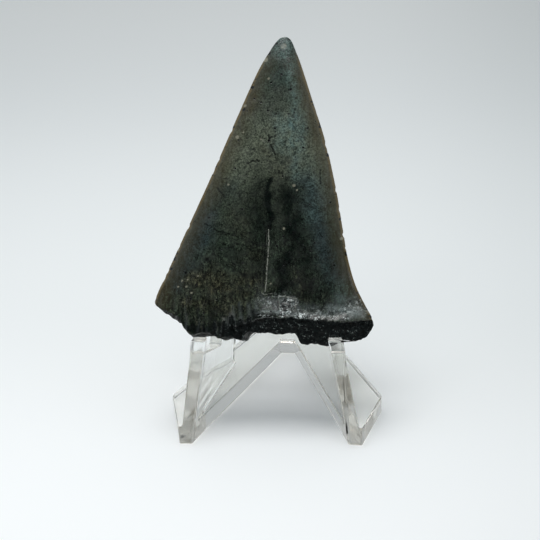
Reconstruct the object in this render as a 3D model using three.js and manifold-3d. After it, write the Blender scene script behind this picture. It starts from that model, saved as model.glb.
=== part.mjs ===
// Crown of a fossil shark tooth, leaning on a clear one-piece display easel.
// Millimetres, +Z up, +X to the right and +Y to the back as the tooth is seen from the front.
// The easel is modelled with y = 0 at its front feet; the whole group is then shifted so that
// the origin is the bottom centre of the pair's bounding box.

import * as THREE from 'three';
import { mergeVertices } from 'three/addons/utils/BufferGeometryUtils.js';
import Module from 'manifold-3d';

const wasm = await Module();
wasm.setup();

// ---- Driving dimensions ----

const EASEL = {
  plateHeight: 4.8,
  footOuter: 24.6, // half-width over the front feet
  footInner: 21.1, // half-width between the front feet
  cornerX: 29.6, // the widest point of the plate, at cornerY
  cornerY: 18.5,
  rimToe: 0.46, // how far the outer rim closes in for each mm towards the back
  notchHalf: 2.0, // flat inner end of the V between the arms
  notchY: 51.8,
  rearY: 64.0,
  cornerRadius: 1.5,
  rearRadius: 5.0,
  footRadius: 0.8,
};

const FIN = {
  thickness: 3.5,
  pegThickness: 4.0,
  footX: 22.85, // middle of the fin's foot at y = 0, z = 0
  toe: 0.17, // sideways closing towards the back, mm per mm
  lean: 0.131, // sideways closing towards the top, mm per mm
  pegFrontY: 5.2,
  pegRearY: 7.5,
  pegTopZ: 28.7,
  ledgeY: 7.2, // front end of the ledge, at the foot of the peg
  ledgeZ: 24.3,
  ledgeLength: 15.0,
  ledgeSlope: THREE.MathUtils.degToRad(20), // falls towards the back
  uprightHeight: 33.0,
  uprightLean: THREE.MathUtils.degToRad(15),
  uprightTop: 4.6,
  rearFootY: 37.3,
  pegRadius: 0.3,
  ledgeRadius: 0.6,
  topFrontRadius: 1.8,
  topRearRadius: 2.2,
  flareDrop: 1.5, // how far the thicker part of the peg starts below the ledge's front end
  flareInsetY: 0.4,
  flareInsetZ: 0.6,
};

const TOOTH = {
  lean: THREE.MathUtils.degToRad(20),
  seatDepth: 4.9, // from the ledge's front end back to the plane of the cutting edges
  seatGap: 0.7, // lifts the broken base clear of the ledges
  frontBulge: 3.3, // thickness in front of the plane of the edges, at the base
  backBulge: 10.3, // thickness behind it
  backSkew: 0.06, // the back is fuller on the right by this share
  leftBaseDrop: 3.2, // how far the base's back left corner reaches below its front rim
  baseDropReach: 0.14, // share of the crown's height over which that drop dies out
  dropDepth: 6.18, // how far behind the plane of the edges it reaches its full depth
  fullWidth: 56.0, // crown width that the two bulges belong to
  thinning: 0.8, // exponent: how the crown thins as it narrows
  frontRim: 2.4, // exponents of the two faces' cross-sections, from the middle to the edges
  frontCrown: 0.85,
  backRim: 2,
  backCrown: 0.72,
  columns: 26, // facets across each face
  rows: 34, // facets from base to tip
  baseRows: 6, // facets through the thickness of the broken base
  baseRoughness: 0.5, // height of the lumps on the broken base
  lumpsAcross: 1.9, // how quickly those lumps follow each other
  lumpsBack: 2.3,
  raggedFade: 4.0, // how fast the ragged base line dies out up the faces
};

const CUT_MARGIN = 2; // how far a cutting solid reaches past what it cuts
const CORNER_SEGMENTS = 5;

// ---- Solids to and from manifold-3d, which only joins and cuts ----

function toSolid(geometry) {
  const bare = geometry.clone();
  bare.deleteAttribute('normal');
  bare.deleteAttribute('uv');
  const merged = mergeVertices(bare, 1e-4);
  return new wasm.Manifold(new wasm.Mesh({
    numProp: 3,
    vertProperties: new Float32Array(merged.attributes.position.array),
    triVerts: new Uint32Array(merged.index.array),
  }));
}

function toGeometry(solid) {
  const mesh = solid.getMesh();
  const geometry = new THREE.BufferGeometry();
  geometry.setAttribute('position', new THREE.BufferAttribute(mesh.vertProperties, 3));
  geometry.setIndex(new THREE.BufferAttribute(mesh.triVerts, 1));
  geometry.computeVertexNormals();
  return geometry;
}

// A closed outline whose corners [x, y, radius] are rounded off.
function roundedShape(corners) {
  const points = corners.map(([x, y]) => new THREE.Vector2(x, y));
  const shape = new THREE.Shape();
  corners.forEach(([, , radius = 0], i) => {
    const here = points[i];
    const before = points[(i + points.length - 1) % points.length];
    const after = points[(i + 1) % points.length];
    const start = here.clone().add(before.clone().sub(here).setLength(radius));
    const end = here.clone().add(after.clone().sub(here).setLength(radius));
    if (i === 0) shape.moveTo(start.x, start.y);
    else shape.lineTo(start.x, start.y);
    if (radius > 0) shape.quadraticCurveTo(here.x, here.y, end.x, end.y);
  });
  shape.closePath();
  return shape;
}

// ---- Easel ----

// The V-shaped plate that lies on the table, seen from above.
function plateSolid() {
  const e = EASEL;
  const rearX = e.cornerX - (e.rearY - e.cornerY) * e.rimToe;
  const rightSide = [
    [e.footInner, 0, e.footRadius],
    [e.footOuter, 0],
    [e.cornerX, e.cornerY, e.cornerRadius],
    [rearX, e.rearY, e.rearRadius],
  ];
  const leftSide = rightSide.map(([x, y, radius]) => [-x, y, radius]).reverse();
  const notch = [[-e.notchHalf, e.notchY, 0], [e.notchHalf, e.notchY, 0]];
  const plate = new THREE.ExtrudeGeometry(roundedShape([...rightSide, ...leftSide, ...notch]), {
    depth: e.plateHeight, bevelEnabled: false, curveSegments: CORNER_SEGMENTS,
  });
  return toSolid(plate).subtract(toSolid(frontWedge()));
}

// What the sloping front of the legs takes off the front ends of the plate.
function frontWedge() {
  const margin = CUT_MARGIN;
  const topY = FIN.pegFrontY * (EASEL.plateHeight + margin) / FIN.pegTopZ;
  const side = new THREE.Shape([
    new THREE.Vector2(-margin, -margin),
    new THREE.Vector2(-FIN.pegFrontY * margin / FIN.pegTopZ, -margin),
    new THREE.Vector2(topY, EASEL.plateHeight + margin),
    new THREE.Vector2(-margin, EASEL.plateHeight + margin),
  ]);
  const width = 2 * (EASEL.footOuter + margin);
  const wedge = new THREE.ExtrudeGeometry(side, { depth: width, bevelEnabled: false });
  return wedge.applyMatrix4(sideways(0, 0, -width / 2));
}

// Turns an outline drawn in (y, z) and extruded by its depth into a slab standing along Y,
// whose x changes with y and z.
function sideways(perY, perZ, startX) {
  return new THREE.Matrix4().set(
    perY, perZ, 1, startX,
    1, 0, 0, 0,
    0, 1, 0, 0,
    0, 0, 0, 1,
  );
}

function finOutline() {
  const f = FIN;
  const ledgeEndY = f.ledgeY + f.ledgeLength * Math.cos(f.ledgeSlope);
  const ledgeEndZ = f.ledgeZ - f.ledgeLength * Math.sin(f.ledgeSlope);
  const topY = ledgeEndY + f.uprightHeight * Math.sin(f.uprightLean);
  const topZ = ledgeEndZ + f.uprightHeight * Math.cos(f.uprightLean);
  return roundedShape([
    [0, 0, 0],
    [f.rearFootY, 0, 0],
    [topY + f.uprightTop, topZ, f.topRearRadius],
    [topY, topZ, f.topFrontRadius],
    [ledgeEndY, ledgeEndZ, f.ledgeRadius],
    [f.ledgeY, f.ledgeZ, f.ledgeRadius],
    [f.pegRearY, f.pegTopZ, f.pegRadius],
    [f.pegFrontY, f.pegTopZ, f.pegRadius],
  ]);
}

// The top of the leg, in front of the tooth, is a little thicker than the rest.
function pegOutline() {
  const f = FIN;
  const flareZ = f.ledgeZ - f.flareDrop;
  return roundedShape([
    [f.pegFrontY * flareZ / f.pegTopZ, flareZ, 0],
    [f.ledgeY - f.flareInsetY, f.ledgeZ - f.flareInsetZ, 0],
    [f.pegRearY, f.pegTopZ, f.pegRadius],
    [f.pegFrontY, f.pegTopZ, f.pegRadius],
  ]);
}

// side is +1 for the right-hand fin and -1 for the left-hand one.
function finSolid(side) {
  const slab = (outline, thickness) => {
    const geometry = new THREE.ExtrudeGeometry(outline, {
      depth: thickness, bevelEnabled: false, curveSegments: CORNER_SEGMENTS,
    });
    const placed = sideways(-side * FIN.toe, -side * FIN.lean, side * FIN.footX - thickness / 2);
    return toSolid(geometry.applyMatrix4(placed));
  };
  return slab(finOutline(), FIN.thickness).add(slab(pegOutline(), FIN.pegThickness));
}

function easelGeometry() {
  return toGeometry(plateSolid().add(finSolid(-1)).add(finSolid(1)));
}

// ---- Tooth ----

// Local frame of the crown: x across, z up along the crown, y = 0 in the plane of the cutting
// edges with the displayed face towards -y. z = 0 is the level of the ledge.
const curve = (points) => new THREE.CatmullRomCurve3(
  points.map(([x, z]) => new THREE.Vector3(x, 0, z)), false, 'centripetal',
);

const TIP = [5.0, 82.8];
const leftEdge = curve([
  [-31.6, 12.2], [-28.2, 19.3], [-21.8, 32.4], [-15.1, 46.2], [-8.3, 60.8], [-1.75, 74.3],
  [1.0, 78.6], [3.15, 81.7], TIP,
]);
const rightEdge = curve([
  [28.3, 5.2], [25.8, 10.6], [23.1, 16.5], [21.15, 23.5], [20.0, 30.5], [18.1, 42.5],
  [15.4, 55.0], [12.2, 65.5], [9.05, 75.6], [7.3, 80.2], [6.6, 81.8], TIP,
]);
const baseLine = curve([
  [-31.6, 12.2], [-30.2, 10.7], [-28.0, 9.3], [-25.6, 7.7], [-24.4, 7.0], [-22.9, 4.5],
  [-21.0, 3.2], [-18.2, 3.6], [-15.2, 3.2], [-13.4, 2.5], [-10.0, 2.6], [-7.6, 1.9],
  [-5.6, 4.1], [-3.0, 4.2], [0.2, 4.1], [2.6, 3.6], [5.9, 4.1], [7.2, 3.2], [8.8, 1.0],
  [12.0, 1.25], [14.4, 0.7], [16.6, 0.45], [19.6, 2.0], [21.9, 1.7], [24.6, 1.9], [26.6, 3.6],
  [28.3, 5.2],
]);

function outlinePoint(across, up) {
  const left = leftEdge.getPointAt(up);
  const right = rightEdge.getPointAt(up);
  const share = (across + 1) / 2;
  const point = left.clone().lerp(right, share);
  const straightBase = leftEdge.getPointAt(0).lerp(rightEdge.getPointAt(0), share);
  const ragged = baseLine.getPointAt(share).sub(straightBase);
  point.addScaledVector(ragged, (1 - up) ** TOOTH.raggedFade);
  return { point, halfWidth: right.distanceTo(left) / 2 };
}

// side is -1 for the displayed face and +1 for the back.
function surfacePoint(across, up, side) {
  const { point, halfWidth } = outlinePoint(across, up);
  const size = (2 * halfWidth / TOOTH.fullWidth) ** TOOTH.thinning;
  const lens = (bulge, rim, crown) => bulge * (1 - Math.abs(across) ** rim) ** crown * size;
  point.y = side < 0
    ? -lens(TOOTH.frontBulge, TOOTH.frontRim, TOOTH.frontCrown)
    : lens(TOOTH.backBulge, TOOTH.backRim, TOOTH.backCrown) * (1 + TOOTH.backSkew * across);
  if (side > 0) {
    const nearBase = Math.max(0, 1 - up / TOOTH.baseDropReach) ** 2;
    const behind = THREE.MathUtils.smoothstep(point.y, 0, TOOTH.dropDepth);
    point.z -= TOOTH.leftBaseDrop * (1 - across) / 2 * behind * nearBase;
  }
  return point;
}

function toothGeometry() {
  const { columns, rows, baseRows, baseRoughness } = TOOTH;
  const positions = [];
  const index = [];
  const add = (p) => positions.push(p.x, p.y, p.z) / 3 - 1;
  // Columns bunch towards the thin cutting edges.
  const acrossAt = (i) => -Math.cos(Math.PI * i / columns);
  const ringSize = 2 * columns;
  const rings = [];
  for (let j = 0; j < rows; j += 1) {
    const up = j / rows;
    const ring = [];
    for (let i = 0; i < columns; i += 1) ring.push(add(surfacePoint(acrossAt(i), up, -1)));
    for (let i = columns; i > 0; i -= 1) ring.push(add(surfacePoint(acrossAt(i), up, 1)));
    rings.push(ring);
  }
  for (let j = 0; j + 1 < rows; j += 1) {
    for (let i = 0; i < ringSize; i += 1) {
      const k = (i + 1) % ringSize;
      index.push(rings[j][i], rings[j][k], rings[j + 1][k]);
      index.push(rings[j][i], rings[j + 1][k], rings[j + 1][i]);
    }
  }
  const tip = add(new THREE.Vector3(TIP[0], 0, TIP[1]));
  const last = rings[rows - 1];
  for (let i = 0; i < ringSize; i += 1) index.push(last[i], last[(i + 1) % ringSize], tip);

  // The broken base: lines from the front rim to the back rim.
  const first = rings[0];
  const frontRim = (i) => first[i];
  const backRim = (i) => first[(ringSize - i) % ringSize];
  const vertex = (n) => new THREE.Vector3().fromArray(positions, 3 * n);
  const lines = [];
  for (let i = 0; i <= columns; i += 1) {
    const line = [frontRim(i)];
    if (i > 0 && i < columns) {
      const front = vertex(frontRim(i));
      const back = vertex(backRim(i));
      for (let k = 1; k < baseRows; k += 1) {
        const p = front.clone().lerp(back, k / baseRows);
        const lump = Math.sin(TOOTH.lumpsAcross * i + TOOTH.lumpsBack * k);
        p.z += baseRoughness * lump * Math.sin(Math.PI * k / baseRows);
        line.push(add(p));
      }
      line.push(backRim(i));
    }
    lines.push(line);
  }
  for (let i = 0; i < columns; i += 1) {
    const a = lines[i];
    const b = lines[i + 1];
    for (let k = 0; k < baseRows; k += 1) {
      const a0 = a[Math.min(k, a.length - 1)];
      const a1 = a[Math.min(k + 1, a.length - 1)];
      const b0 = b[Math.min(k, b.length - 1)];
      const b1 = b[Math.min(k + 1, b.length - 1)];
      if (a0 !== a1) index.push(a0, a1, b1);
      if (b0 !== b1) index.push(a0, b1, b0);
    }
  }
  const geometry = new THREE.BufferGeometry();
  geometry.setAttribute('position', new THREE.Float32BufferAttribute(positions, 3));
  geometry.setIndex(index);
  geometry.computeVertexNormals();
  return geometry;
}

// ---- Assembly ----

const acrylic = new THREE.MeshStandardMaterial({
  color: 0xdfe4e2, roughness: 0.05, metalness: 0, transparent: true, opacity: 0.4,
});
const enamel = new THREE.MeshStandardMaterial({ color: 0x33352f, roughness: 0.35, metalness: 0 });

const stand = new THREE.Mesh(easelGeometry(), acrylic);
stand.name = 'stand';

const tooth = new THREE.Mesh(toothGeometry(), enamel);
tooth.name = 'tooth';
tooth.rotation.x = -TOOTH.lean;
tooth.position.set(
  0,
  FIN.ledgeY + TOOTH.seatDepth * Math.cos(FIN.ledgeSlope) + TOOTH.seatGap * Math.sin(TOOTH.lean),
  FIN.ledgeZ - TOOTH.seatDepth * Math.sin(FIN.ledgeSlope) + TOOTH.seatGap * Math.cos(TOOTH.lean),
);

const model = new THREE.Group();
model.add(stand, tooth);
model.updateMatrixWorld(true);
const centre = new THREE.Box3().setFromObject(model, true).getCenter(new THREE.Vector3());
model.position.set(-centre.x, -centre.y, 0);

export default model;
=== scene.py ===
"""Fossil shark tooth leaning on a clear one-piece easel.

Lengths are in metres unless a name ends in _MM.
"""

import math

import bmesh
import bpy
import numpy as np
from mathutils import Matrix, Vector, noise


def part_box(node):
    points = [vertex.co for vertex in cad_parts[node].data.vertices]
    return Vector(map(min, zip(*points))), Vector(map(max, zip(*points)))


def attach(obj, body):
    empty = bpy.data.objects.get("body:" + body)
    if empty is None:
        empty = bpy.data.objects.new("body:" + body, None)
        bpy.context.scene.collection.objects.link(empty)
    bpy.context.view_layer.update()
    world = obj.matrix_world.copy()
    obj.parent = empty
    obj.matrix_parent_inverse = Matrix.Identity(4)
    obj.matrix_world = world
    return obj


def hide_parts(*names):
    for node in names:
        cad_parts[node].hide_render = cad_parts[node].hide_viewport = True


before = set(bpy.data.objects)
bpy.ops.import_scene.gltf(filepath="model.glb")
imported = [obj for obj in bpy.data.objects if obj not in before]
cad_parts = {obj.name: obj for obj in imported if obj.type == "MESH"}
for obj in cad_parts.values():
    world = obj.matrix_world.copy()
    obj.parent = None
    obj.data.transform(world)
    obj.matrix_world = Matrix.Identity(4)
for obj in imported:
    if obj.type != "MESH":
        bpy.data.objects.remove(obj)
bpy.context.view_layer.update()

MM = 0.001
STAND_LOW, STAND_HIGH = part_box("stand")
STAND_MIDDLE_X = (STAND_LOW.x + STAND_HIGH.x) / 2
FEET = Vector((STAND_MIDDLE_X, STAND_LOW.y, STAND_LOW.z))  # between the front feet, on the table

# ---- Tooth, in its own frame: x across, z up the crown, -y out of the displayed face ----

TOOTH_LEAN = math.radians(20)
# From FEET to the origin of the tooth's frame, which lies in the plane of the ledges.
TOOTH_SEAT_MM = (0.0, 12.04, 23.28)
FULL_WIDTH_MM = 56.0
FRONT_BULGE_MM = 3.3
BACK_BULGE_MM = 10.3
FRONT_CURVE = (2.4, 0.85)  # exponents that round a face from its middle to its cutting edges
BACK_CURVE = (2, 0.72)
BACK_SKEW = 0.06  # makes the back fuller on one side
THINNING = 0.8  # exponent that thins the crown as it narrows
LEFT_BASE_DROP_MM = 3.2  # how far the back hangs lower at the left
BASE_DROP_REACH = 0.14  # share of the crown's height over which that fades
RAGGED_FADE = 4.0  # exponent that fades the base line's shape up the crown
BASE_CHIPPING_MM = 0.3
CALM_TIP_MM = 12.0  # the relief fades out this far below the tip

NICK_DEPTH_MM = 0.8  # for a full swing of the noise, of which at most NICK_LIMIT counts
NICK_LENGTH_MM = 1.7
NICK_START = 0.30  # noise below this leaves the cutting edge whole
NICK_LIMIT = 0.4
FINE_NICK_DEPTH_MM = 0.05
FINE_NICK_LENGTH_MM = 0.5

BREAK_DEPTH_MM = 0.7
BREAK_LUMPS_MM = 0.5
BREAK_GRIT_MM = 0.3
FLARE_DEPTH_MM = 1.25
MIDDLE_HOLLOW_MM = 0.35
RIPPLE_LENGTHS_MM = (3.3, 1.4)  # of the folds' upright ripples, coarse and fine
RIPPLE_DEPTHS_MM = (0.09, 0.04)
RIDGE_HEIGHT_MM = 0.30
CHIP_DEPTH_MM = 0.22
CHIP_LUMPS_MM = 0.30
SPARK_LUMPS_MM = 0.10
BACK_BREAK_DEPTH_MM = 0.8
BACK_BREAK_LUMPS_MM = 0.4
BACK_BAND_LUMPS_MM = 0.12
BASE_LUMPS_MM = 0.9
BASE_GRIT_MM = 0.25

COLUMNS = 180
COLUMNS_TO_EDGES = 0.45  # crowds the columns towards the cutting edges
ROWS = 240
ROWS_TO_ENDS = 0.09  # crowds the rows towards the base and the tip
BASE_ROWS = 30
CURVE_STEPS = 24  # positions between two points of an outline
WELD_MM = 1e-4
BREAK_SHARE = 0.15  # how broken a face is before it shows the tooth's inside
FAR_FROM_EDGE_MM = 9  # the underside's distance from a cutting edge, for its colour
MAP_MM = 100.0  # width of the face map's unit square
MAP_SHIFT = 2.0  # moves the maps of the back and the base clear of the displayed face's marks

TIP_MM = (5.0, 82.3)
LEFT_EDGE_MM = [
    (-31.35, 12.3), (-30.5, 14.7), (-28.2, 19.3), (-21.8, 32.4), (-15.1, 46.2), (-8.3, 60.8),
    (-1.75, 74.3), (1.0, 78.6), (2.35, 80.5), (3.1, 81.35), (4.0, 82.05), TIP_MM,
]
RIGHT_EDGE_MM = [
    (27.8, 5.9), (27.3, 8.0), (25.8, 10.8), (23.1, 16.5), (21.15, 23.5), (20.0, 30.5),
    (18.1, 42.5), (15.4, 55.0), (12.2, 65.5), (9.05, 75.6), (7.55, 79.5), (7.0, 80.85),
    (6.45, 81.65), (5.8, 82.15), TIP_MM,
]
BASE_LINE_MM = [
    (-31.35, 12.3), (-31.15, 11.6), (-30.4, 11.0), (-29.2, 10.3), (-28.0, 9.9), (-26.8, 9.35),
    (-25.6, 8.7), (-24.5, 8.2), (-23.9, 7.0), (-22.9, 5.2), (-21.0, 3.6), (-18.2, 4.3),
    (-16.5, 4.1), (-15.2, 3.6), (-13.4, 2.8), (-11.6, 3.1), (-10.0, 3.0), (-8.2, 2.2),
    (-7.4, 2.35), (-6.6, 3.6), (-5.6, 4.3), (-3.0, 4.2), (0.2, 4.1), (2.6, 3.7), (5.9, 4.1),
    (7.2, 3.6), (8.8, 1.1), (12.0, 1.25), (14.4, 0.7), (16.6, 0.45), (19.6, 2.0), (21.9, 1.8),
    (24.6, 2.1), (26.7, 3.9), (27.8, 5.9),
]
# Upper border of the rough black break on the displayed face.
BREAK_LINE_MM = [
    (-32, 6.0), (-24, 4.5), (-19, 3.2), (-14, 4.2), (-8, 6.0), (-4.5, 7.0), (-1, 8.0), (3, 8.1),
    (9, 7.8), (15, 7.0), (21, 6.7), (28, 7.2),
]
FOLDS_MM = [  # centre across, half-width, depth and top of each deep basal fold
    (-14.6, 0.55, 0.5, 10.0), (-12.0, 0.6, 1.0, 9.0), (-9.9, 0.7, 1.4, 10.5),
    (-7.6, 0.7, 1.2, 9.5), (-5.4, 0.6, 0.9, 10.5), (-17.4, 0.5, 0.4, 9.0),
]

# Marks on the displayed face. Each stroke is a line of points, its half-width and its strength.
# Stains, slate with its painted side sheen, painted sheens and painted glints come first, then
# the finer scratches, pits and pale marks.
DARK_STROKES = [
    ([(1.2, 45.5), (0.9, 43.5), (0.4, 39), (0.2, 33)], 1.2, 0.95),
    ([(-0.2, 43), (-2.2, 38), (-1.2, 33)], 4.2, 0.62),
    ([(5.8, 41), (6.3, 35), (7.2, 27)], 4.0, 0.68),
    ([(4.8, 25), (4.3, 20), (3.9, 16)], 2.4, 1.0),
    ([(9.8, 25), (10.3, 15)], 2.6, 0.62),
    ([(-12.3, 42), (-11.5, 40.5)], 2.2, 0.38),
    ([(-2, 26), (-3, 20)], 2.0, 0.45),
    ([(-12, 26), (-6, 23)], 2.5, 0.35),
    ([(3, 12), (12, 12.5), (16, 16)], 1.8, 0.4),
    ([(-16, 12), (-15, 7)], 1.0, 0.5),
    ([(-22.5, 6.4), (-18, 5.4), (-12, 4.8), (-7, 5.0)], 2.0, 1.0),
    ([(-10.5, 9.0), (-6.0, 8.0)], 1.8, 0.3),
    ([(-9.0, 6.2), (-4.0, 8.0), (0.5, 9.0)], 0.9, 0.9),
]
# Slate-blue down both sides: a slate tone and a painted reflection of the side lights.
SLATE_AND_PAINTED_SIDE_SHEEN_STROKES = [
    ([(-16.2, 37), (-17.6, 33), (-20.4, 27), (-26.0, 17.5)], 3.1, 1.0),
    ([(10.8, 44), (13.2, 35), (16.0, 25), (18.2, 19)], 3.4, 0.9),
    ([(-13.5, 43), (-9.5, 42)], 2.2, 0.35),
    ([(21, 14), (24.5, 9.5)], 2.6, 0.5),
]
# Painted sheen: lighter colour where highlights and reflections of the lights fall, at the tip
# and right of the middle.
PAINTED_SHEEN_STROKES = [
    ([(4.6, 81.5), (5.2, 77)], 1.9, 0.6),
    ([(6.8, 74), (7.6, 67), (8.3, 61)], 1.5, 0.7),
    ([(7.6, 60.5), (8.0, 56)], 2.2, 1.0),
    ([(4.0, 60), (4.6, 52)], 3.0, 0.45),
    ([(8.8, 53), (8.0, 47)], 1.8, 0.45),
    ([(12.5, 45), (13.0, 36)], 3.5, 0.25),
    ([(19, 16), (23.5, 11), (26, 8.5)], 2.3, 0.5),
]
# Painted glints: highlights drawn in at the tip, on the ribs between the folds, and along the
# flared band above the break.
PAINTED_GLINT_STROKES = [
    ([(4.7, 80.0), (4.9, 79.3)], 0.55, 1.0),
    ([(-9.7, 11.2), (-9.2, 7.0)], 0.50, 0.34),
    ([(-7.7, 12.2), (-7.3, 7.8)], 0.45, 0.30),
    ([(-5.3, 11.8), (-4.9, 8.8)], 0.55, 0.34),
    ([(-3.5, 12.8), (-3.1, 9.8)], 0.60, 0.36),
    ([(-11.5, 7.8), (-11.2, 5.2)], 0.42, 0.32),
    ([(16.6, 10.6), (20.2, 9.9), (24.2, 9.3)], 1.3, 1.0),
    ([(18.4, 13.0), (22.0, 11.6)], 1.6, 0.35),
    ([(-1.6, 10.0), (3.0, 9.6), (7.6, 8.9), (12.0, 8.8), (15.5, 9.2)], 0.65, 0.75),
    ([(-1.2, 12.4), (1.6, 12.2)], 1.4, 0.30),
    ([(3.6, 12.4), (6.3, 12.0)], 1.2, 0.55),
    ([(8.3, 11.0), (12.8, 10.7)], 1.0, 0.34),
]
# The chip's own dark crackle, with painted white glints in it.
CHIP_AND_GLINT_STROKES = [
    ([(4.5, 11.8), (4.7, 9.4)], 1.7, 1.0),
    ([(7.6, 8.9), (10.0, 8.5), (13.2, 8.2)], 0.9, 1.0),
    ([(-2.0, 9.2), (2.0, 8.9)], 0.8, 0.6),
    ([(16.0, 8.3), (21.0, 8.0)], 0.5, 0.7),
]
RIDGE_STROKES = [
    ([(4.9, 84), (7.6, 66), (9.2, 54), (10.5, 46), (12.5, 38)], 2.6, 1.0),
]
BROWN_STROKES = [
    ([(-24, 17), (-17, 18), (-10, 16.5), (-3.5, 17)], 4.0, 0.9),
    ([(-22, 11.5), (-14, 11), (-8, 12)], 3.0, 0.8),
    ([(8.5, 20), (9.5, 14)], 2.2, 0.7),
    ([(-3.2, 68), (-5.2, 63)], 1.6, 0.7),
    ([(9.6, 73), (11.2, 65), (13.4, 56)], 1.0, 0.8),
    ([(0.5, 53), (3.5, 48.5)], 3.0, 0.55),
    ([(-12, 50), (-14, 45)], 2.0, 0.45),
    ([(19.6, 25.5), (19.9, 24.5)], 0.9, 1.0),
    ([(-24.3, 25.8), (-23.6, 25.4)], 0.4, 1.0),
    ([(-7, 33), (-3, 24)], 3.0, 0.35),
]
SCRATCHES_MM = [
    ([(-17.0, 33.4), (-13.5, 31.4), (-10.0, 30.6), (-5.5, 28.8), (-1.0, 26.9)], 0.13, 0.9),
    ([(-7.1, 30.4), (-4.0, 28.8), (-1.0, 27.4)], 0.12, 0.8),
    ([(-8.6, 28.1), (-6.0, 27.4), (-3.9, 25.9)], 0.13, 0.8),
    ([(-13.4, 42.8), (-11.6, 40.6)], 0.14, 0.9),
    ([(0.6, 56.6), (1.0, 54.4), (1.9, 52.6), (2.3, 51.6)], 0.16, 1.0),
    ([(1.4, 56.2), (0.4, 54.6)], 0.12, 0.8),
    ([(2.6, 55.0), (0.8, 53.6)], 0.12, 0.7),
    ([(-5.2, 49.2), (-3.8, 49.9), (-2.9, 49.6)], 0.14, 1.0),
    ([(-2.6, 50.1), (-2.0, 49.8)], 0.18, 1.0),
    ([(-7.3, 19.9), (-6.2, 19.7), (-5.2, 20.0)], 0.17, 1.0),
    ([(14.1, 47.2), (14.1, 43.6)], 0.13, 0.9),
    ([(3.3, 47.1), (3.3, 45.2)], 0.13, 0.9),
    ([(-15.5, 46.5), (-9.0, 44.6)], 0.09, 0.5),
    ([(-12.0, 37.5), (-6.5, 40.2)], 0.09, 0.5),
    ([(-11.0, 35.5), (-5.0, 35.9)], 0.08, 0.45),
    ([(-0.3, 31.2), (-0.7, 26.5), (-1.0, 22.0), (-1.3, 16.5)], 0.16, 0.9),
    ([(5.0, 55.0), (6.2, 47.0)], 0.08, 0.4),
    ([(16.0, 12.0), (20.0, 10.6)], 0.10, 0.6),
]
PITS_MM = [  # centre and half-width
    (1.4, 70.4, 0.26), (6.6, 68.4, 0.34), (-3.7, 69.2, 0.34), (-6.0, 63.4, 0.36),
    (-8.9, 58.9, 0.26), (-7.5, 55.4, 0.22), (-16.4, 23.9, 0.40), (12.5, 64.4, 0.30),
    (14.1, 59.4, 0.30), (16.1, 51.0, 0.32), (8.0, 78.8, 0.30), (0.4, 32.6, 0.34),
    (-22.4, 20.2, 0.30), (-19.6, 16.9, 0.25), (-3.9, 27.6, 0.22), (10.9, 58.2, 0.20),
    (2.6, 62.1, 0.20), (-1.4, 65.2, 0.20), (17.4, 22.0, 0.24), (12.4, 28.0, 0.20),
    (-20.1, 39.0, 0.26), (21.6, 12.2, 0.22), (16.6, 38.6, 0.26), (19.9, 33.2, 0.28),
    (-26.6, 21.2, 0.3), (-9.0, 22.5, 0.24), (-11.9, 19.6, 0.28), (-14.2, 15.9, 0.26),
]
# Pale specks; the one at (4.85, 79.75) is a painted highlight on the tip.
PALE_SPECKS_AND_TIP_HIGHLIGHT_MM = [  # centre and half-width
    (0.0, 76.3, 0.42), (0.7, 71.4, 0.26), (-5.7, 64.5, 0.30), (-6.2, 57.5, 0.22),
    (-7.9, 56.2, 0.36), (4.4, 31.9, 0.26), (-10.4, 43.7, 0.24), (-24.6, 26.3, 0.26),
    (-23.4, 18.0, 0.26), (-22.2, 16.5, 0.22), (-20.9, 14.8, 0.24), (-21.9, 18.4, 0.2),
    (7.2, 43.2, 0.3), (8.0, 42.0, 0.22), (-1.4, 55.5, 0.20), (19.5, 29.0, 0.34),
    (4.85, 79.75, 0.55), (-19.0, 19.4, 0.18), (-24.6, 16.4, 0.2), (0.6, 17.2, 0.2),
    (-13.0, 51.7, 0.2),
]
PALE_LINES_MM = [
    ([(0.30, 31.6), (0.28, 28.2), (0.05, 25.2), (-0.35, 21.6), (-0.5, 18.6), (-0.95, 15.2)],
     0.17, 1.0),
    ([(-0.35, 31.4), (-0.25, 27.6)], 0.08, 0.35),
    ([(2.6, 13.9), (4.2, 13.8), (5.8, 13.4), (7.3, 13.2)], 0.17, 1.0),
    ([(7.2, 13.1), (7.1, 11.0)], 0.13, 0.7),
    ([(2.7, 13.6), (3.0, 10.4)], 0.13, 0.7),
    ([(-2.0, 14.9), (-1.2, 14.4), (0.8, 14.6)], 0.12, 0.6),
    ([(8.3, 8.9), (8.6, 7.6), (9.3, 7.0)], 0.13, 0.7),
    ([(-1.5, 55.9), (-0.5, 54.7)], 0.12, 0.55),
    ([(-12.2, 8.2), (-11.9, 4.6)], 0.42, 0.55),
    ([(-7.6, 46.2), (-3.4, 45.6)], 0.10, 0.3),
]


# ---- Curves and fields ----

def smooth_line(points):
    """A centripetal Catmull-Rom curve through points, as rows of evenly spaced positions."""
    p = np.array(points, float)
    p = np.vstack([2 * p[0] - p[1], p, 2 * p[-1] - p[-2]])
    out = []
    for a, b, c, d in zip(p, p[1:], p[2:], p[3:]):
        t1 = np.linalg.norm(b - a) ** 0.5
        t2 = t1 + np.linalg.norm(c - b) ** 0.5
        t3 = t2 + np.linalg.norm(d - c) ** 0.5
        t = np.linspace(t1, t2, CURVE_STEPS, endpoint=False)[:, None]
        ab = (t1 - t) / t1 * a + t / t1 * b
        bc = (t2 - t) / (t2 - t1) * b + (t - t1) / (t2 - t1) * c
        cd = (t3 - t) / (t3 - t2) * c + (t - t2) / (t3 - t2) * d
        abc = (t2 - t) / t2 * ab + t / t2 * bc
        bcd = (t3 - t) / (t3 - t1) * bc + (t - t1) / (t3 - t1) * cd
        out.append((t2 - t) / (t2 - t1) * abc + (t - t1) / (t2 - t1) * bcd)
    out.append(p[-2][None, :])
    return np.vstack(out)


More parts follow.
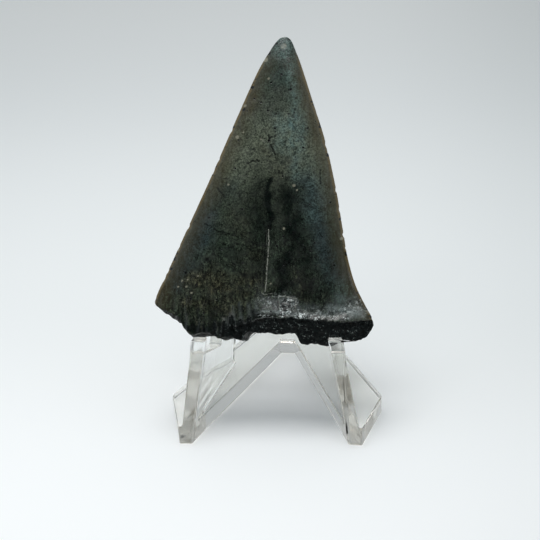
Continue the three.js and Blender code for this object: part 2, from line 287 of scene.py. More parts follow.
def along(line, share):
    """Positions at shares 0 to 1 of a line's length."""
    steps = np.linalg.norm(np.diff(line, axis=0), axis=1)
    reached = np.concatenate([[0], np.cumsum(steps)]) / steps.sum()
    return np.stack([np.interp(share, reached, line[:, k]) for k in range(line.shape[1])], -1)


def step(x, low, high):
    """Smooth step from 0 at low to 1 at high; low may be above high."""
    t = np.clip((x - low) / (high - low), 0, 1)
    return t * t * (3 - 2 * t)


def field(x, y, z, size_mm, seed=0.0, octaves=1):
    """Smooth noise from about -1 to 1, with lumps of about size_mm."""
    points = np.stack(np.broadcast_arrays(x, y, z), -1).reshape(-1, 3) / size_mm + seed
    if octaves > 1:
        values = [noise.fractal(Vector(p), 0.9, 2.1, octaves) for p in points]
    else:
        values = [noise.noise(Vector(p)) for p in points]
    return np.array(values).reshape(np.broadcast(x, y, z).shape)


def line_mask(x, z, strokes, sharp=2):
    """Soft lines on the face: 1 along each stroke, fading over its half-width."""
    mask = np.zeros_like(x)
    for points, half, strength in strokes:
        for (ax, az), (bx, bz) in zip(points, points[1:]):
            dx, dz = bx - ax, bz - az
            share = np.clip(((x - ax) * dx + (z - az) * dz) / (dx * dx + dz * dz), 0, 1)
            off = np.hypot(x - ax - share * dx, z - az - share * dz)
            mask = np.maximum(mask, strength * np.exp(-(off / half) ** sharp))
    return mask


# ---- Tooth shape ----

def tooth_outline(across, up):
    """Positions (x, z) on the crown's flat outline grid, and the half-width of each row."""
    left = along(smooth_line(LEFT_EDGE_MM), up)
    right = along(smooth_line(RIGHT_EDGE_MM), up)
    half_width = np.linalg.norm(right - left, axis=1) / 2
    share = (across + 1) / 2
    flat = left[:, None, :] + (right - left)[:, None, :] * share[None, :, None]
    base = along(smooth_line(BASE_LINE_MM), share)
    chipping = BASE_CHIPPING_MM * field(base[:, 0], 0.0, 0.0, 1.1, seed=3.1, octaves=3)
    base[:, 1] += chipping * step(1 - np.abs(across), 0, 0.05)
    ragged = base - flat[0]
    fade = (1 - up) ** RAGGED_FADE
    flat = flat + fade[:, None, None] * ragged[None, :, :]
    return flat[..., 0], flat[..., 1], half_width


def edge_nicks(z, seed):
    """How far worn nicks bite into a cutting edge at height z."""
    swing = field(z, 0.0, 0.0, NICK_LENGTH_MM, seed)
    bites = np.clip(swing - NICK_START, 0, NICK_LIMIT) * NICK_DEPTH_MM
    fine = FINE_NICK_DEPTH_MM * np.abs(field(z, 0.0, 0.0, FINE_NICK_LENGTH_MM, seed + 5))
    return bites + fine


def face_positions(across, up, side):
    """One face of the crown as an array of (x, y, z) in millimetres, and its painted masks."""
    x, z, half_width = tooth_outline(across, up)
    size = ((2 * half_width / FULL_WIDTH_MM) ** THINNING)[:, None]
    away = np.abs(across)[None, :]
    inside = step(1 - away, 0, 0.06)
    if side < 0:
        y = -FRONT_BULGE_MM * (1 - away ** FRONT_CURVE[0]) ** FRONT_CURVE[1] * size
        cut, masks = front_relief(x, z)
    else:
        skew = (1 + BACK_SKEW * across)[None, :]
        y = BACK_BULGE_MM * (1 - away ** BACK_CURVE[0]) ** BACK_CURVE[1] * skew * size
        cut, masks = back_relief(x, y, z)
        near_base = np.clip(1 - up / BASE_DROP_REACH, 0, 1)[:, None] ** 2
        behind = step(y, 0, 0.6 * BACK_BULGE_MM)
        z = z - LEFT_BASE_DROP_MM * (1 - across)[None, :] / 2 * behind * near_base
    y = y - side * cut * inside * step(TIP_MM[1] - z, 0.0, CALM_TIP_MM)
    below_tip, above_base = step(up, 0.95, 0.88)[:, None], step(up, 0.0, 0.02)[:, None]
    for edge, seed in ((-1, 1.5), (1, 21.5)):
        bite = edge_nicks(z, seed) * below_tip * above_base
        x = x - edge * bite * step(edge * across[None, :], 0.9, 1.0)
    return np.stack([x, y, z], -1), masks


def front_relief(x, z):
    """Depth cut into the displayed face, and the masks that its colours follow."""
    line = smooth_line(BREAK_LINE_MM)
    wobble = 0.35 * field(x, 0.0, z, 1.7, seed=2.0, octaves=3)
    above = z - np.interp(x, line[:, 0], line[:, 1]) - wobble
    broken = step(above, 0.30, -0.25) * step(x, -13, -7)
    lumps = BREAK_LUMPS_MM * field(x, 0.0, z, 1.5, seed=4.0, octaves=4)
    grit = BREAK_GRIT_MM * field(x, 3.0, z, 0.6, seed=1.0, octaves=2)
    cut = broken * (BREAK_DEPTH_MM + lumps + grit)
    # The face hollows above the break on the right and flares out again towards it.
    upper = 13.2 - 4.0 * step(x, 6.0, 9.5) + 3.2 * step(x, 17.5, 23.0)
    flare = step(x, -5, 0) * step(z, 31, upper + 0.5) * step(above, 0.1, upper - 7.2)
    cut = cut + FLARE_DEPTH_MM * flare
    cut = cut + MIDDLE_HOLLOW_MM * np.exp(-((x - 1) / 8) ** 2 - ((z - 26) / 14) ** 2)
    # Upright folds on the lower left.
    folded = step(z, 18.0, 5.0) * step(x, -1, -5) * step(x, -29, -22)
    sway = 0.9 * field(x, 0.0, z, 5.0, seed=6.0)
    for length, depth, swing in zip(RIPPLE_LENGTHS_MM, RIPPLE_DEPTHS_MM, (1, 1.4)):
        cut = cut + folded * depth * (1 + np.cos(2 * math.pi * (x + swing * sway) / length))
    hollow = np.zeros_like(x)
    for middle, half, depth, top in FOLDS_MM:
        drift = middle + 0.35 * field(z, middle, 0.0, 3.0, seed=9.0) + 0.05 * (z - 6)
        trench = np.exp(-((x - drift) / half) ** 2) * step(z, top, top - 6)
        cut = cut + depth * trench
        hollow = np.maximum(hollow, trench * min(1.0, depth))
    # Gentle unevenness all over, with faint upright ripples.
    cut = cut + 0.13 * field(x, 0.0, z, 9.0, seed=12.0)
    cut = cut + 0.035 * field(x, 0.0, z, 2.2, seed=7.0, octaves=2)
    cut = cut + 0.035 * field(x * 3, 0.0, z * 0.25, 2.4, seed=5.0, octaves=2)
    # A low upright ridge, a square chip above the break, and crackled enamel along the break.
    cut = cut - RIDGE_HEIGHT_MM * line_mask(x, z, RIDGE_STROKES)
    chip = step(x, 2.5, 3.1) * step(x, 7.4, 6.8) * step(z, 8.2, 9.0) * step(z, 13.9, 13.3)
    chip_lumps = CHIP_LUMPS_MM * field(x, 0.0, z, 0.8, seed=3.0, octaves=3)
    cut = cut + chip * (CHIP_DEPTH_MM + chip_lumps)
    spark = flare * step(above, -0.3, 0.4) * step(z, upper + 2.5, upper - 1.0)
    cut = cut + spark * SPARK_LUMPS_MM * field(x, 0.0, z, 0.7, seed=6.0, octaves=2)
    # Stains, the slate with its painted side sheen, and the painted sheens wander off their
    # strokes, as mineral stains do.
    wandered_x = x + 1.5 * field(x, 20.0, z, 4.0, seed=3.3, octaves=3)
    wandered_z = z + 2.2 * field(x, 40.0, z, 4.5, seed=8.3, octaves=3)
    masks = {
        "broken": broken,
        "hollow": hollow,
        "spark": spark,
        "dark": line_mask(wandered_x, wandered_z, DARK_STROKES),
        "slate_and_painted_side_sheen": line_mask(wandered_x, wandered_z, SLATE_AND_PAINTED_SIDE_SHEEN_STROKES),
        "painted_sheen": line_mask(wandered_x, wandered_z, PAINTED_SHEEN_STROKES),
        "painted_glint": line_mask(x, z, PAINTED_GLINT_STROKES),
        "chip_and_glints": line_mask(x, z, CHIP_AND_GLINT_STROKES, sharp=4),
        "brown": line_mask(wandered_x, wandered_z, BROWN_STROKES),
    }
    return cut, masks


def back_relief(x, y, z):
    """The same for the back, which keeps a low worn band of rougher tissue above the break."""
    wobble = 0.6 * field(x, 5.0, z, 2.3, seed=2.0, octaves=3)
    above = z - 5.2 - 0.004 * x ** 2 - wobble
    broken = step(above, 0.6, -0.3)
    lumps = broken * BACK_BREAK_LUMPS_MM * field(x, y, z, 1.4, seed=4.5, octaves=4)
    cut = BACK_BREAK_DEPTH_MM * step(above, 0.8, -0.8) + lumps
    band = step(z, 17.0, 8.0)
    cut = cut + band * BACK_BAND_LUMPS_MM * field(x, y, z, 1.1, seed=3.3, octaves=3)
    cut = cut + 0.2 * field(x, 0.0, z, 9.0, seed=15.0)
    cut = cut + 0.04 * field(x, 0.0, z, 2.2, seed=6.0, octaves=2)
    cut = cut + 0.05 * field(x * 3, 0.0, z * 0.2, 3.0, seed=5.5, octaves=2)
    # Random stains, painted sheen patches, and the band that later gets painted glints.
    masks = {
        "broken": broken,
        "hollow": 0 * x,
        "spark": 0.4 * band,
        "dark": 0.8 * step(field(x, 9.0, z, 11.0, seed=2.5), 0.05, 0.5),
        "slate_and_painted_side_sheen": 0.9 * step(field(x, 4.0, z, 13.0, seed=7.5), 0.05, 0.4),
        "painted_sheen": 0.6 * step(field(x, 2.0, z * 0.6, 9.0, seed=4.5), 0.15, 0.5),
        "painted_glint": 0 * x,
        "chip_and_glints": 0 * x,
        "brown": 0.8 * step(field(x, 7.0, z, 10.0, seed=9.5), 0.0, 0.5),
    }
    return cut, masks


def add_grid(bm, positions, masks, uv, uv_shift):
    """One create_grid sheet moved onto an array of positions, with its masks filled in."""
    rows, columns = positions.shape[0] - 1, positions.shape[1] - 1
    sheet = bmesh.ops.create_grid(bm, x_segments=columns, y_segments=rows, size=1)["verts"]
    for vert in sheet:
        i = round((vert.co.x + 1) / 2 * columns)
        j = round((vert.co.y + 1) / 2 * rows)
        vert.co = Vector(positions[j, i])
        for name, values in masks.items():
            vert[bm.verts.layers.float[name]] = float(values[j, i])
    for face in {face for vert in sheet for face in vert.link_faces}:
        face.smooth = True
        for loop in face.loops:
            loop[uv].uv = (loop.vert.co.x / MAP_MM + uv_shift, loop.vert.co.z / MAP_MM)


def base_positions(front_rim, back_rim):
    """The rough broken underside between the two faces' lower rims."""
    share = np.linspace(0, 1, BASE_ROWS + 1)[:, None, None]
    flat = front_rim[None] * (1 - share) + back_rim[None] * share
    lumps = BASE_LUMPS_MM * field(flat[..., 0], flat[..., 1], 0.0, 2.6, seed=5.0, octaves=4)
    grit = BASE_GRIT_MM * field(flat[..., 0], flat[..., 1], 0.0, 0.7, seed=8.0, octaves=2)
    room = np.linalg.norm(back_rim - front_rim, axis=1)[None, :]
    swell = np.sin(math.pi * share[..., 0]) * np.clip(room / 6, 0, 1)
    flat[..., 2] += np.clip(lumps + grit + 0.5, -0.1, 2.0) * swell
    return flat


def build_tooth():
    """Two faces and an underside, welded into one closed mesh that leans back on the stand."""
    spread = np.linspace(0, 1, COLUMNS + 1)
    even = (1 - COLUMNS_TO_EDGES) * (2 * spread - 1)
    across = even - COLUMNS_TO_EDGES * np.cos(math.pi * spread)
    rise = np.linspace(0, 1, ROWS + 1)
    up = rise - ROWS_TO_ENDS * np.sin(2 * math.pi * rise)
    front, front_masks = face_positions(across, up, -1)
    back, back_masks = face_positions(across, up, 1)
    back[:, [0, -1]] = front[:, [0, -1]]
    back[-1] = front[-1]
    base = base_positions(front[0], back[0])
    half = np.linalg.norm(front[:, -1] - front[:, 0], axis=1)[:, None] / 2
    front_masks["edge_mm"] = half * (1 - np.abs(across))[None, :]
    back_masks["edge_mm"] = front_masks["edge_mm"]
    whole = np.ones(base.shape[:2])
    base_masks = {name: 0 * whole for name in front_masks}
    base_masks.update(broken=whole, edge_mm=FAR_FROM_EDGE_MM * whole)

    bm = bmesh.new()
    for name in front_masks:
        bm.verts.layers.float.new(name)
    uv = bm.loops.layers.uv.new("face")
    add_grid(bm, front, front_masks, uv, 0.0)
    add_grid(bm, back, back_masks, uv, MAP_SHIFT)
    add_grid(bm, base, base_masks, uv, 2 * MAP_SHIFT)
    bmesh.ops.remove_doubles(bm, verts=bm.verts, dist=WELD_MM)
    bmesh.ops.dissolve_degenerate(bm, dist=WELD_MM, edges=bm.edges)
    bmesh.ops.recalc_face_normals(bm, faces=bm.faces)
    broken, hollow = bm.verts.layers.float["broken"], bm.verts.layers.float["hollow"]
    for face in bm.faces:
        roughness = sum(max(vert[broken], vert[hollow]) for vert in face.verts)
        face.material_index = int(roughness / len(face.verts) > BREAK_SHARE)

    place = (
        Matrix.Translation(FEET + Vector(TOOTH_SEAT_MM) * MM)
        @ Matrix.Rotation(-TOOTH_LEAN, 4, "X")
        @ Matrix.Scale(MM, 4)
    )
    bmesh.ops.transform(bm, matrix=place, verts=bm.verts)
    return mesh_piece("fossil_tooth", bm)


def mesh_piece(name, bm):
    mesh = bpy.data.meshes.new(name)
    bm.to_mesh(mesh)
    bm.free()
    piece = bpy.data.objects.new(name, mesh)
    bpy.context.scene.collection.objects.link(piece)
    return piece


# ---- Stand: a copy of the CAD shape with its moulded edges softened ----

EDGE_ROUND = 0.45 * MM
EDGE_SEGMENTS = 3
EDGE_ANGLE = math.radians(28)  # flatter edges stay as they are
SAME_PLANE = math.radians(1)
SAME_POINT = 1e-6
SHORTEST_EDGE = 0.4 * MM  # shorter ones are merged, or more corners would cross when rounded
PLATE_REACH = 8 * MM  # nothing but the plate has a level face below this height
FACING = 0.95  # cosine above which a face looks along an axis


def build_stand():
    """The stand, rounded without a clamp, which leaves a stray spike at the right peg's top."""
    bm = bmesh.new()
    bm.from_mesh(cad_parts["stand"].data)
    for shortest in (SAME_POINT, SHORTEST_EDGE):
        bmesh.ops.remove_doubles(bm, verts=bm.verts, dist=shortest)
        bmesh.ops.dissolve_limit(bm, angle_limit=SAME_PLANE, verts=bm.verts, edges=bm.edges)
    bmesh.ops.recalc_face_normals(bm, faces=bm.faces)
    satin = bm.faces.layers.float.new("satin")
    painted_plate_shade = bm.faces.layers.float.new("painted_plate_shade")
    for face in bm.faces:
        low = face.calc_center_median().z < STAND_LOW.z + PLATE_REACH
        face[satin] = float(face.normal.y < -FACING)
        # Level faces low down are the plate's tops, which get a painted shade tint.
        face[painted_plate_shade] = float(low and face.normal.z > FACING)
    sharp = [edge for edge in bm.edges if edge.calc_face_angle(0) > EDGE_ANGLE]
    bmesh.ops.bevel(bm, geom=sharp, offset=EDGE_ROUND, offset_type="OFFSET",
                    segments=EDGE_SEGMENTS, profile=0.5, affect="EDGES",
                    clamp_overlap=False, material=-1)
    for face in bm.faces:
        face.smooth = True
    stand = mesh_piece("clear_easel", bm)
    stand.modifiers.new("even_shading", "WEIGHTED_NORMAL").keep_sharp = True
    return stand


# ---- Materials ----

PER_METRE = 1000.0  # turns metres into the millimetres that the patterns are sized in
RELIEF_UNIT = 0.001  # a bump's height is in millimetres


class Nodes:
    """Short calls for building one node tree."""

    def __init__(self, tree):
        self.tree = tree
        tree.nodes.clear()

    def add(self, kind, inputs=None, **settings):
        made = self.tree.nodes.new(kind)
        for key, value in settings.items():
            setattr(made, key, value)
        for key, value in (inputs or {}).items():
            self.put(made.inputs[key], value)
        return made

    def put(self, socket, value):
        if isinstance(value, bpy.types.NodeSocket):
            self.tree.links.new(value, socket)
        else:
            socket.default_value = value

    def math(self, operation, a, b=0.0):
        return self.add("ShaderNodeMath", {0: a, 1: b}, operation=operation).outputs[0]

    def both(self, a, b):
        return self.math("MULTIPLY", a, b)

    def vector(self, operation, a, b, output="Vector"):
        made = self.add("ShaderNodeVectorMath", {0: a, 1: b}, operation=operation)
        return made.outputs[output]

    def scaled(self, vector, amount):
        made = self.add("ShaderNodeVectorMath", {0: vector, "Scale": amount}, operation="SCALE")
        return made.outputs["Vector"]

    def ramp(self, value, low, high, to_low=0.0, to_high=1.0):
        made = self.add("ShaderNodeMapRange", {0: value, 1: low, 2: high, 3: to_low, 4: to_high},
                        interpolation_type="SMOOTHSTEP")
        return made.outputs[0]

    def mix(self, share, a, b, blend="MIX"):
        made = self.add("ShaderNodeMix", data_type="RGBA", blend_type=blend)
        self.put(made.inputs[0], share)
        self.put(made.inputs[6], a)
        self.put(made.inputs[7], b)
        return made.outputs[2]

    def noise(self, vector, scale, detail=4.0, rough=0.55, distortion=0.0):
        made = self.add("ShaderNodeTexNoise", {
            "Vector": vector, "Scale": scale, "Detail": detail, "Roughness": rough,
            "Distortion": distortion})
        return made.outputs["Fac"]

    def stretch(self, vector, scale, shift=(0, 0, 0)):
        made = self.add("ShaderNodeMapping", {
            "Vector": vector, "Scale": scale, "Location": shift})
        return made.outputs[0]

    def in_mm(self):
        return self.scaled(self.add("ShaderNodeTexCoord").outputs["Object"], PER_METRE)

    def mask(self, name):
        return self.add("ShaderNodeAttribute", attribute_name=name).outputs["Fac"]

    def bump(self, height):
        made = self.add("ShaderNodeBump", {
            "Strength": 1.0, "Distance": RELIEF_UNIT, "Height": height})
        return made.outputs[0]


def rgb(r, g, b):
    return (r, g, b, 1.0)


def material(name):
    made = bpy.data.materials.new(name)
    made.use_nodes = True
    return made, Nodes(made.node_tree)


# Fields and stains of the enamel, with painted sheens: the olive is partly a painted broad
# sheen, and the slate carries a painted side sheen.
TIP_GREY_GREEN = rgb(0.032, 0.050, 0.043)
OLIVE = rgb(0.094, 0.110, 0.082)
DARK_OLIVE = rgb(0.025, 0.037, 0.026)
CLOUD_OLIVE = rgb(0.030, 0.034, 0.026)
STAIN_BROWN = rgb(0.044, 0.043, 0.026)
SLATE_AND_PAINTED_SIDE_SHEEN = rgb(0.023, 0.037, 0.042)
STAIN_BLACK = rgb(0.0008, 0.0028, 0.0020)
PAINTED_SHEEN_GREEN = rgb(0.092, 0.145, 0.140)
# Its streaks and grain. The last four colours multiply what is under them.
STREAK_BLACK = rgb(0.004, 0.005, 0.004)
RIB_GREY = rgb(0.066, 0.066, 0.052)
SPOT_BLACK = rgb(0.004, 0.007, 0.005)
FLECK_OLIVE = rgb(0.098, 0.105, 0.078)
GRAIN_DARK = rgb(0.38, 0.39, 0.39)
GRAIN_LIGHT = rgb(1.75, 1.72, 1.62)
CRUST_DARK = rgb(0.14, 0.15, 0.15)
CRUST_LIGHT = rgb(1.9, 1.95, 1.95)
# Its edges and small marks.
THIN_BROWN = rgb(0.058, 0.048, 0.024)
OCHRE = rgb(0.125, 0.090, 0.036)
NICK_BLACK = rgb(0.006, 0.006, 0.005)
SCRATCH_BLACK = rgb(0.0008, 0.0016, 0.0012)
PALE_LINE = rgb(0.24, 0.245, 0.21)
PALE_SPECK_AND_HIGHLIGHT = rgb(0.26, 0.25, 0.19)
PIT_BLACK = rgb(0.0005, 0.0008, 0.0006)
# Its broken places, and the painted glints above the break.
PAINTED_GLINT_GREY = rgb(0.22, 0.26, 0.255)
CHIP_BLACK = rgb(0.001, 0.002, 0.002)
PAINTED_GLINT_WHITE = rgb(0.68, 0.74, 0.73)
GRIT_BLACK = rgb(0.0010, 0.0016, 0.0018)
GRIT_GREY = rgb(0.020, 0.022, 0.020)
FOLD_BLACK = rgb(0.003, 0.004, 0.004)
ENAMEL_IOR = 1.58

BREAK_BLACK = rgb(0.0008, 0.0018, 0.0018)
BREAK_GREY = rgb(0.0060, 0.0095, 0.0090)
# Painted glints in the grit of the break.
BREAK_PAINTED_GLINT = rgb(0.20, 0.235, 0.22)
RUST = rgb(0.016, 0.012, 0.008)
BREAK_IOR = 1.45
BREAK_SHINE = 0.13

CLEAR = rgb(0.970, 0.987, 0.988)
# Painted shade: a grey tint on the plate's level tops for the table's shadow seen through them.
PAINTED_SHADE_CLEAR = rgb(0.74, 0.775, 0.785)
CLEAR_TINT = rgb(0.80, 0.77, 0.71)  # the colour left after light has crossed thick plastic
CLEAR_DENSITY = 17.0
ACRYLIC_IOR = 1.49

# Painted light and shade on the table: lighter in front and far off, darker from the stand back,
# and darker to the right.
TABLE_PAINTED_LIGHT_NEAR = rgb(0.94, 0.96, 0.97)
TABLE_PAINTED_SHADE = rgb(0.84, 0.87, 0.88)
TABLE_PAINTED_LIGHT_FAR = rgb(0.97, 0.99, 0.99)
TABLE_UNSHADED = rgb(1.0, 1.0, 1.0)
TABLE_PAINTED_SIDE_SHADE = rgb(0.79, 0.80, 0.80)
TABLE_IOR = 1.3


def soft_line_group():
    """A mask that is 1 on the line from A to B and fades to 0 at Half Width from it."""
    group = bpy.data.node_groups.new("soft_line", "ShaderNodeTree")
    for name in ("Point", "A", "B"):
        group.interface.new_socket(name, in_out="INPUT", socket_type="NodeSocketVector")
    group.interface.new_socket("Half Width", in_out="INPUT", socket_type="NodeSocketFloat")
    group.interface.new_socket("Mask", in_out="OUTPUT", socket_type="NodeSocketFloat")
    n = Nodes(group)
    given = n.add("NodeGroupInput").outputs

    from_start = n.vector("SUBTRACT", given["Point"], given["A"])
    whole = n.vector("SUBTRACT", given["B"], given["A"])
    reach = n.math("DIVIDE", n.vector("DOT_PRODUCT", from_start, whole, "Value"),
                   n.vector("DOT_PRODUCT", whole, whole, "Value"))
    reach = n.math("MINIMUM", n.math("MAXIMUM", reach, 0.0), 1.0)
    off = n.vector("SUBTRACT", from_start, n.scaled(whole, reach))
    distance = n.vector("DISTANCE", off, (0, 0, 0), "Value")
    fade = n.math("DIVIDE", distance, given["Half Width"])
    n.add("NodeGroupOutput", {"Mask": n.ramp(fade, 1.35, 0.45)})
    return group


def drawn_lines(n, group, point, strokes, widen=1.0):
    """The strongest mask of many strokes drawn with the soft line group."""
    mask = None
    for points, half, strength in strokes:
        for start, end in zip(points, points[1:]):
            made = n.add("ShaderNodeGroup", node_tree=group)
            n.put(made.inputs["Point"], point)
            n.put(made.inputs["A"], (start[0], start[1], 0))
            n.put(made.inputs["B"], (end[0], end[1], 0))
            n.put(made.inputs["Half Width"], half * widen)
            one = n.both(made.outputs["Mask"], strength)
            mask = one if mask is None else n.math("MAXIMUM", mask, one)
    return mask


def dots_as_lines(dots):
    """Very short slanted strokes, so that a dot isn't a perfect circle."""
    return [([(x - 0.2 * half, z), (x + 0.2 * half, z + 0.3 * half)], half * 1.2, 1.0)
            for x, z, half in dots]


def stain_and_sheen_colour(n, height, clouds, blotches):
    """Grey-green at the tip, olive below it (partly a painted broad sheen), near black low down,
    stained fields, and painted sheens.
    """
    mottle = n.ramp(blotches, 0.36, 0.64, 0.45, 1.35)
    deep = n.both(n.mask("dark"), n.ramp(blotches, 0.32, 0.56, 0.80, 1.45))
    deep = n.math("MINIMUM", deep, 1.0)
    # The olive higher up is partly the enamel's tone and partly a painted broad sheen.
    upper = n.mix(n.ramp(height, 74.0, 56.0), TIP_GREY_GREEN, OLIVE)
    colour = n.mix(n.ramp(height, 56.0, 30.0), upper, DARK_OLIVE)
    colour = n.mix(n.both(n.ramp(clouds, 0.42, 0.62), 0.5), colour, CLOUD_OLIVE)
    colour = n.mix(n.both(n.mask("brown"), mottle), colour, STAIN_BROWN)
    # Slate tone with a painted reflection of the side lights.
    colour = n.mix(n.both(n.mask("slate_and_painted_side_sheen"), 0.9), colour, SLATE_AND_PAINTED_SIDE_SHEEN)
    colour = n.mix(deep, colour, STAIN_BLACK)
    # Painted sheen: highlights drawn in as lighter colour.
    colour = n.mix(n.both(n.mask("painted_sheen"), mottle), colour, PAINTED_SHEEN_GREEN)
    return colour, deep


def grained_colour(n, colour, in_mm, height, blotches, deep):
    """Upright streaks low on the face, dark spots everywhere, and a fine grain."""
    streaks = n.ramp(n.noise(n.stretch(in_mm, (1, 1, 0.10)), 1.0, 7, 0.72), 0.46, 0.57)
    lowest = n.ramp(height, 34.0, 10.0)
    colour = n.mix(n.both(n.both(streaks, lowest), 0.8), colour, STREAK_BLACK)
    ribs = n.noise(n.stretch(in_mm, (1, 1, 0.10), shift=(5, 3, 1)), 0.8, 6, 0.7)
    ribs = n.ramp(ribs, 0.53, 0.62)
    ribs = n.both(n.both(ribs, n.ramp(height, 20.0, 6.0)), 0.45)
    colour = n.mix(ribs, colour, RIB_GREY)
    spots = n.ramp(n.noise(in_mm, 0.75, 6, 0.72), 0.50, 0.64)
    colour = n.mix(n.both(spots, 0.68), colour, SPOT_BLACK)
    grain = n.ramp(n.noise(in_mm, 2.3, 5, 0.75), 0.38, 0.62)
    colour = n.mix(1.0, colour, n.mix(grain, GRAIN_DARK, GRAIN_LIGHT), "MULTIPLY")
    crust = n.noise(n.stretch(in_mm, (1, 1, 0.28), shift=(2, 8, 5)), 1.75, 6, 0.8)
    low = n.ramp(height, 46.0, 22.0)
    crusty = n.both(low, n.ramp(n.mask("slate_and_painted_side_sheen"), 0.7, 0.1, 0.25, 1.0))
    crusty = n.both(crusty, n.ramp(blotches, 0.36, 0.60, 0.35, 1.0))
    crust_tone = n.mix(n.ramp(crust, 0.42, 0.60), CRUST_DARK, CRUST_LIGHT)
    colour = n.mix(crusty, colour, n.mix(1.0, colour, crust_tone, "MULTIPLY"))
    flecks = n.noise(n.stretch(in_mm, (1, 1, 1), shift=(9, 4, 17)), 1.9, 4, 0.75)
    flecks = n.ramp(flecks, 0.57, 0.68)
    flecks = n.both(flecks, n.ramp(deep, 0.2, 0.8, 0.34, 0.08))
    return n.mix(flecks, colour, FLECK_OLIVE)


def edged_colour(n, colour, in_mm, height, edge):
    """An ochre line where the enamel is thin, along the cutting edges, with dark nicks."""
    thin = n.math("ADD", edge, n.both(n.noise(in_mm, 0.5, 4), 0.9))
    below_tip = n.ramp(height, 80.0, 73.0)
    brown = n.both(n.both(n.ramp(thin, 7.0, 0.8), below_tip), 0.6)
    colour = n.mix(brown, colour, THIN_BROWN)
    ochre = n.both(n.both(n.ramp(thin, 1.45, 0.75), below_tip), 0.85)
    colour = n.mix(ochre, colour, OCHRE)
    at_edge = n.ramp(edge, 0.9, 0.4)
    bands = n.noise(n.stretch(in_mm, (0.2, 0.2, 1)), 0.75, 1)
    nick = n.both(at_edge, n.ramp(bands, 0.62, 0.68))
    return n.mix(nick, colour, NICK_BLACK)


def small_marks(n, in_mm, face):
    """Masks of the pits, scratches, pale specks with a painted highlight at the tip, and pale
    lines.
    """
    # Small pits all over, then the marks of the displayed face.
    cells = n.add("ShaderNodeTexVoronoi", {"Vector": in_mm, "Scale": 0.55, "Randomness": 1.0})
    chosen = n.add("ShaderNodeSeparateXYZ", {0: cells.outputs["Color"]}).outputs[0]
    pit_size = n.ramp(chosen, 0.62, 1.0, 0.03, 0.17)
    pit = n.ramp(n.math("SUBTRACT", cells.outputs["Distance"], pit_size), 0.03, -0.02)
    pit = n.both(pit, n.ramp(chosen, 0.62, 0.63))
    group = soft_line_group()
    shaken = n.add("ShaderNodeTexNoise", {"Vector": in_mm, "Scale": 1.1, "Detail": 3.0})
    shift = n.vector("SUBTRACT", shaken.outputs["Color"], (0.5, 0.5, 0.5))
    shift = n.vector("MULTIPLY", shift, (0.5, 0.5, 0))
    point = n.vector("ADD", face, shift)
    scratch = drawn_lines(n, group, point, SCRATCHES_MM, widen=1.9)
    scratch = n.both(scratch, n.ramp(n.noise(in_mm, 1.3, 2), 0.33, 0.5))
    pit = n.math("MAXIMUM", pit, drawn_lines(n, group, point, dots_as_lines(PITS_MM)))
    speck_and_highlight = drawn_lines(n, group, point, dots_as_lines(PALE_SPECKS_AND_TIP_HIGHLIGHT_MM))
    pale = drawn_lines(n, group, point, PALE_LINES_MM)
    pale = n.both(pale, n.ramp(n.noise(in_mm, 1.6, 2), 0.30, 0.52))
    return pit, scratch, speck_and_highlight, pale


